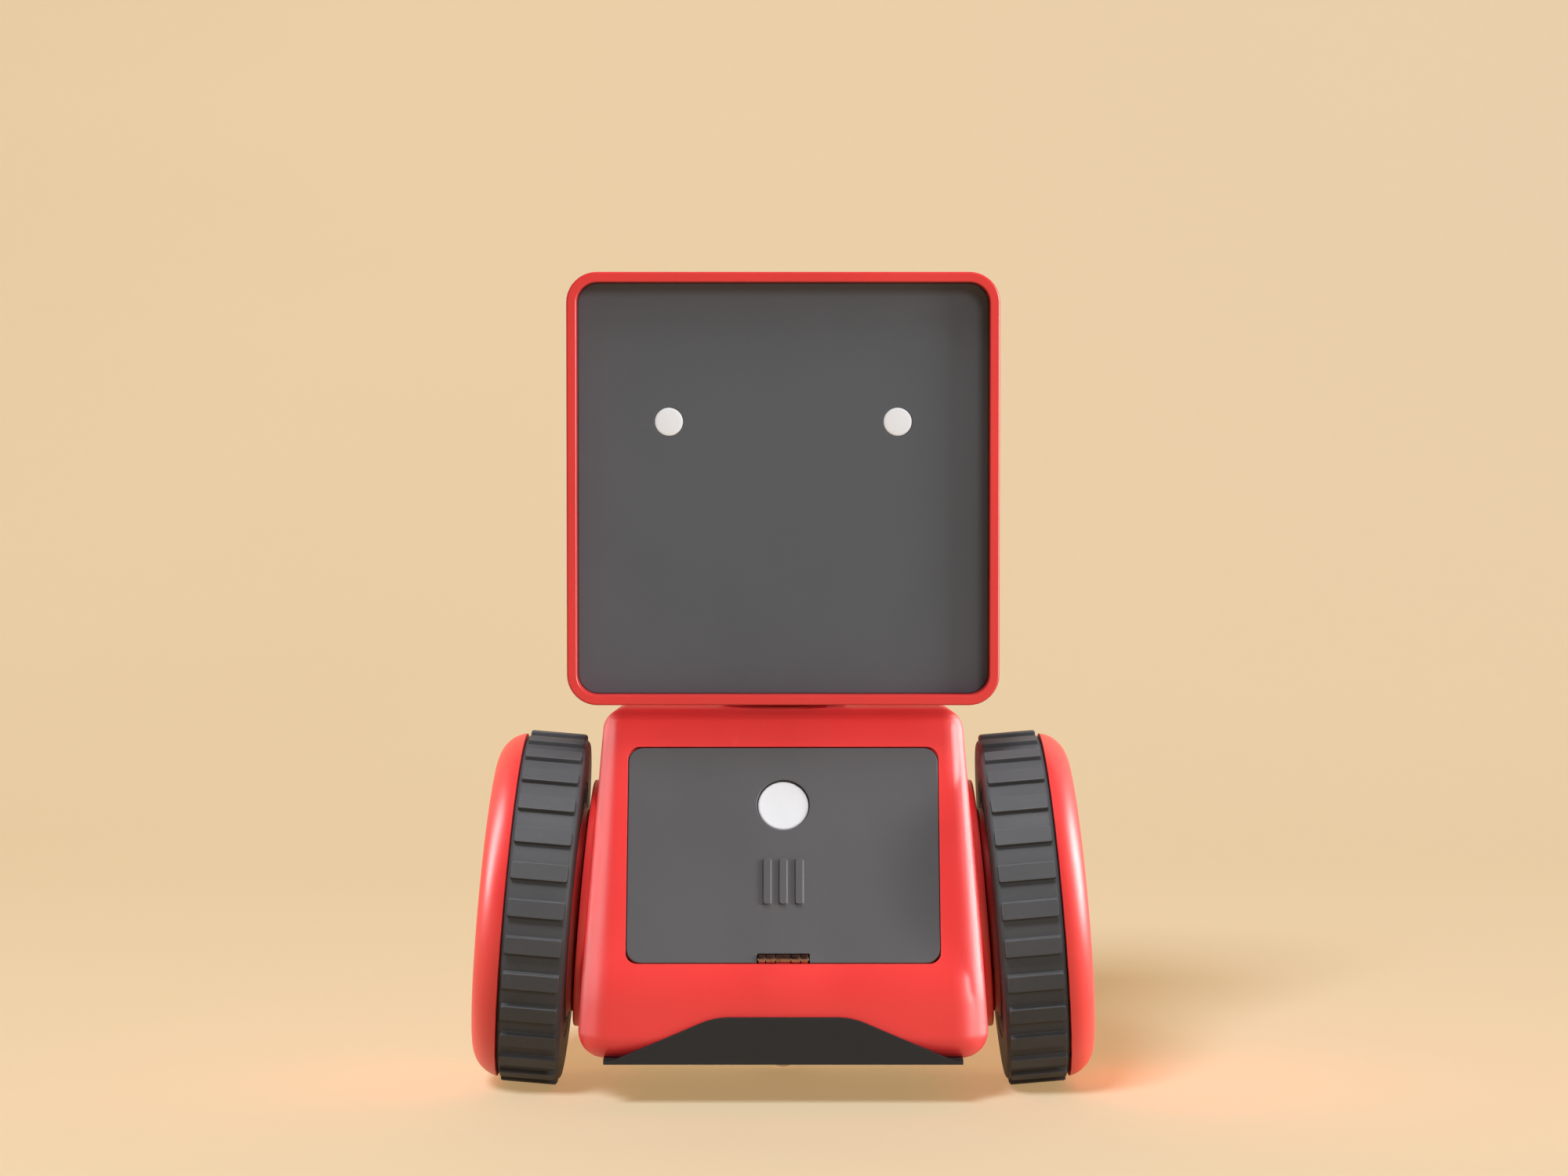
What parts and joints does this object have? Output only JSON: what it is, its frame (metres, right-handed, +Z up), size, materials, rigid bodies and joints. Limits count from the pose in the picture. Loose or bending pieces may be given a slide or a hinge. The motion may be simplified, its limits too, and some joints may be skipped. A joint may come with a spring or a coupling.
{
  "type": "educational coding robot",
  "caption": "Small two-wheeled teaching robot with a square panning head, a leaning body, a hinged chest door around a start button and a rear ball caster.",
  "frame": {"origin": "on the floor, under the middle of the wheel axle line", "axes": "+Z up; the robot faces -Y; +X is to the right of a viewer looking at its face"},
  "size_m": [0.1572, 0.0892, 0.2059],
  "materials": {
    "red_plastic": "semi-gloss moulded",
    "dark_plastic": "fine matt texture",
    "face_plastic": "smooth matt",
    "tyre_rubber": "moulded rubber",
    "white_plastic": "smooth",
    "hinge_brass": "worn satin",
    "circuit_board": "solder mask",
    "black_plastic": "moulded",
    "cell_sleeve": "shrink sleeve over metal",
    "gearbox_plastic": "moulded",
    "polished_steel": "polished",
    "steel": "satin"
  },
  "bodies": {
    "chassis": {"body_shell": "red_plastic", "rear_cover": "red_plastic", "rear_screws": "steel", "belly_plate": "black_plastic", "belly_screws": "steel", "bay_tray": "dark_plastic", "button_collar": "dark_plastic", "button_board": "circuit_board", "tact_switch": "steel", "hinge_leaf_body": "hinge_brass", "hinge_pin": "steel", "catch_magnet_body": "steel", "motor_housing_left": "red_plastic", "motor_housing_right": "red_plastic", "gearbox_left": "gearbox_plastic", "gearbox_right": "gearbox_plastic", "motor_left": "steel", "motor_right": "steel", "battery_holder": "dark_plastic", "battery_cells": "cell_sleeve", "main_board": "circuit_board", "board_chips": "black_plastic", "board_posts": "steel", "usb_port": "steel", "switch_body": "steel", "speaker": "black_plastic", "pan_servo": "black_plastic", "servo_bracket": "dark_plastic", "neck_ring": "red_plastic", "caster_housing": "dark_plastic"},
    "wheel_left": {"tyre_left": "tyre_rubber", "rim_left": "red_plastic", "hubcap_left": "red_plastic", "axle_left": "steel"},
    "wheel_right": {"tyre_right": "tyre_rubber", "rim_right": "red_plastic", "hubcap_right": "red_plastic", "axle_right": "steel"},
    "chest_door": {"chest_door": "dark_plastic", "hinge_leaf_door": "hinge_brass", "catch_magnet_door": "steel"},
    "start_button": {"start_button": "white_plastic"},
    "power_switch": {"switch_knob": "dark_plastic"},
    "caster_ball": {"caster_ball": "polished_steel"},
    "head": {"head_frame": "red_plastic", "head_back": "red_plastic", "head_screws": "steel", "face_panel": "face_plastic", "eye_left": "white_plastic", "eye_right": "white_plastic", "eye_board": "circuit_board", "neck_collar": "red_plastic"}
  },
  "joints": [
    {"name": "left_wheel_spin", "type": "hinge", "parent": "chassis", "child": "wheel_left", "pos_m": [-0.0608, 0, 0.04508], "axis": [-0.9963, 0, 0.0854], "continuous": true},
    {"name": "right_wheel_spin", "type": "hinge", "parent": "chassis", "child": "wheel_right", "pos_m": [0.0608, 0, 0.04508], "axis": [0.9963, 0, 0.0854], "continuous": true},
    {"name": "caster_roll", "type": "hinge", "parent": "chassis", "child": "caster_ball", "pos_m": [0, 0.025, 0.0045], "axis": [1, 0, 0], "continuous": true},
    {"name": "head_pan", "type": "hinge", "parent": "chassis", "child": "head", "pos_m": [0, 0.005, 0.0981], "axis": [0, 0, 1], "range_deg": [-80, 80]},
    {"name": "chest_door_hinge", "type": "hinge", "parent": "chassis", "child": "chest_door", "pos_m": [0, -0.03733, 0.03666], "axis": [1, 0, 0], "range_deg": [0, 105]},
    {"name": "start_button_press", "type": "slide", "parent": "chassis", "child": "start_button", "axis": [0, 0.9259, -0.3778], "range_m": [0, 0.001], "stiffness_N_per_m": 250, "springref_m": -0.001},
    {"name": "power_switch_slide", "type": "slide", "parent": "chassis", "child": "power_switch", "axis": [1, 0, 0], "range_m": [0, 0.004]}
  ]
}
